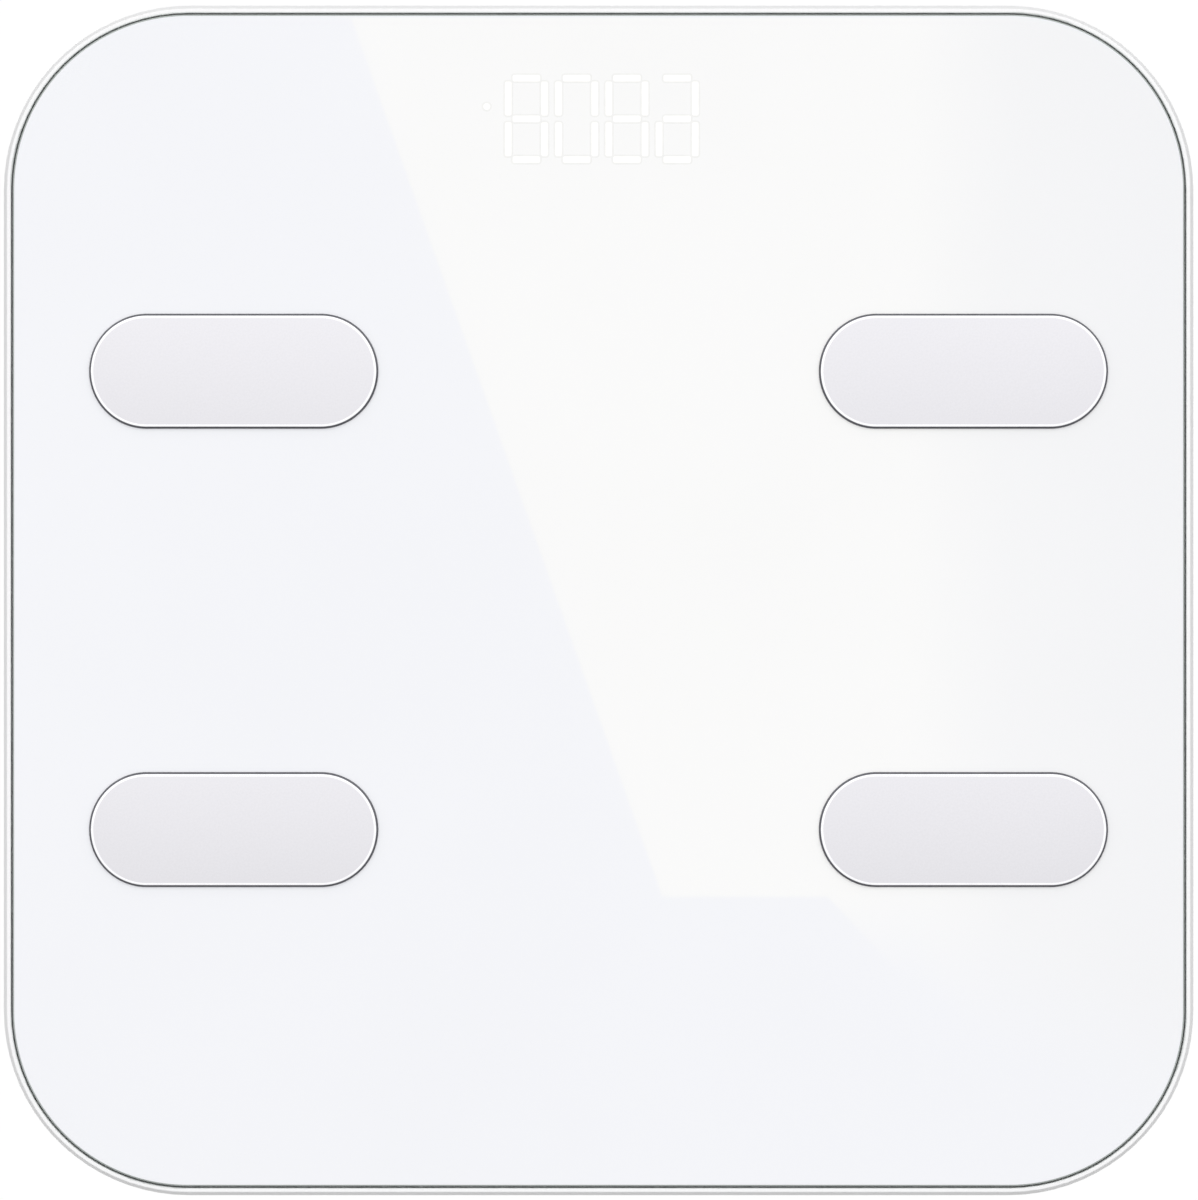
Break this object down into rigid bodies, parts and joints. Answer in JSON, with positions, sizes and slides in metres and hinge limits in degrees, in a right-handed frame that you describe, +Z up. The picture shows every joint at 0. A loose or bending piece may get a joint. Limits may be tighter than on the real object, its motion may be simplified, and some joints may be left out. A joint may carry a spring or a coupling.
{
  "type": "digital bathroom scale",
  "caption": "Flat square glass body scale with rounded corners, stadium electrodes, a hidden LED digit display, sprung load-cell feet and a battery bay underneath.",
  "frame": {"origin": "on the floor, under the middle of the platform", "axes": "+Z up, +Y towards the display edge, +X to the right seen from the user's side"},
  "size_m": [0.28, 0.28, 0.025],
  "materials": {
    "clear_glass": "polished clear tempered glass, printed white underneath",
    "white_abs": "white ABS, satin rim",
    "base_abs": "white ABS, fine spark-eroded texture",
    "foot_abs": "white ABS, fine texture",
    "foot_rubber": "grey moulded rubber, matte",
    "electrode_steel": "stainless steel sheet, bead blasted",
    "cell_steel": "nickel-plated spring steel",
    "holder_pom": "natural moulded plastic",
    "gauge_silicone": "white silicone coating",
    "foam_tape": "white foam tape",
    "electrode_tape": "double-sided tape",
    "stud_steel": "plated steel, threaded",
    "terminal_tin": "tinned brass",
    "screw_steel": "zinc-plated steel",
    "lead_pvc": "PVC insulated leads",
    "board_fr4": "green solder mask on glass-fibre board",
    "reflector_plastic": "white moulded plastic",
    "led_body": "white LED chips",
    "diffuser_film": "translucent film",
    "gasket_foam": "black foam",
    "chip_epoxy": "black moulding compound",
    "radio_can": "tinned steel screening can",
    "capacitor_can": "aluminium can",
    "crystal_can": "nickel-plated can",
    "resistor_body": "chip parts",
    "plug_nylon": "natural nylon housings",
    "switch_black": "black moulded switch",
    "button_abs": "grey ABS",
    "cell_sleeve": "plain printed battery sleeve",
    "contact_nickel": "nickel-plated spring steel"
  },
  "bodies": {
    "scale_body": {"base_cover": "base_abs", "battery_cell_1": "cell_sleeve", "battery_cell_2": "cell_sleeve", "battery_cell_3": "cell_sleeve", "battery_leads": "lead_pvc", "board_capacitors": "capacitor_can", "board_screws": "screw_steel", "cell_holder_front_left": "holder_pom", "cell_holder_front_right": "holder_pom", "cell_holder_rear_left": "holder_pom", "cell_holder_rear_right": "holder_pom", "cell_leads_front_left": "lead_pvc", "cell_leads_front_right": "lead_pvc", "cell_leads_rear_left": "lead_pvc", "cell_leads_rear_right": "lead_pvc", "chip_resistors": "resistor_body", "clock_crystal": "crystal_can", "contact_plates": "contact_nickel", "contact_springs": "contact_nickel", "controller_chips": "chip_epoxy", "cover_screws": "screw_steel", "diffuser_film": "diffuser_film", "display_reflector": "reflector_plastic", "electrode_front_left": "electrode_steel", "electrode_front_right": "electrode_steel", "electrode_leads": "lead_pvc", "electrode_nuts": "stud_steel", "electrode_rear_left": "electrode_steel", "electrode_rear_right": "electrode_steel", "electrode_studs": "stud_steel", "electrode_tape": "electrode_tape", "electrode_terminals": "terminal_tin", "gauge_coatings": "gauge_silicone", "glass_bond_tape": "foam_tape", "glass_plate": "clear_glass", "holder_screws": "screw_steel", "lead_connectors": "plug_nylon", "light_gasket": "gasket_foam", "load_cell_front_left": "cell_steel", "load_cell_front_right": "cell_steel", "load_cell_rear_left": "cell_steel", "load_cell_rear_right": "cell_steel", "main_board": "board_fr4", "radio_module": "radio_can", "segment_leds": "led_body", "tact_switch": "switch_black", "top_frame": "white_abs"},
    "foot_rear_right": {"foot_cap_rear_right": "foot_abs", "foot_pad_rear_right": "foot_rubber"},
    "foot_rear_left": {"foot_cap_rear_left": "foot_abs", "foot_pad_rear_left": "foot_rubber"},
    "foot_front_left": {"foot_cap_front_left": "foot_abs", "foot_pad_front_left": "foot_rubber"},
    "foot_front_right": {"foot_cap_front_right": "foot_abs", "foot_pad_front_right": "foot_rubber"},
    "unit_button": {"unit_button": "button_abs", "tact_plunger": "switch_black"},
    "battery_door": {"battery_door": "base_abs", "door_latch": "base_abs"}
  },
  "joints": [
    {"name": "foot_rear_right_slide", "type": "slide", "parent": "scale_body", "child": "foot_rear_right", "axis": [0, 0, 1], "range_m": [0, 0.0008], "stiffness_N_per_m": 500, "springref_m": -0.0066, "deforming": ["load_cell_rear_right"]},
    {"name": "foot_rear_left_slide", "type": "slide", "parent": "scale_body", "child": "foot_rear_left", "axis": [0, 0, 1], "range_m": [0, 0.0008], "stiffness_N_per_m": 500, "springref_m": -0.0066, "deforming": ["load_cell_rear_left"]},
    {"name": "foot_front_left_slide", "type": "slide", "parent": "scale_body", "child": "foot_front_left", "axis": [0, 0, 1], "range_m": [0, 0.0008], "stiffness_N_per_m": 500, "springref_m": -0.0066, "deforming": ["load_cell_front_left"]},
    {"name": "foot_front_right_slide", "type": "slide", "parent": "scale_body", "child": "foot_front_right", "axis": [0, 0, 1], "range_m": [0, 0.0008], "stiffness_N_per_m": 500, "springref_m": -0.0066, "deforming": ["load_cell_front_right"]},
    {"name": "unit_button_press", "type": "slide", "parent": "scale_body", "child": "unit_button", "axis": [0, 0, 1], "range_m": [0, 0.0005], "stiffness_N_per_m": 2000, "springref_m": -0.0005},
    {"name": "battery_door_hinge", "type": "hinge", "parent": "scale_body", "child": "battery_door", "pos_m": [0, -0.01795, 0.0057], "axis": [-1, 0, 0], "range_deg": [0, 90], "deforming": ["door_latch"]}
  ]
}
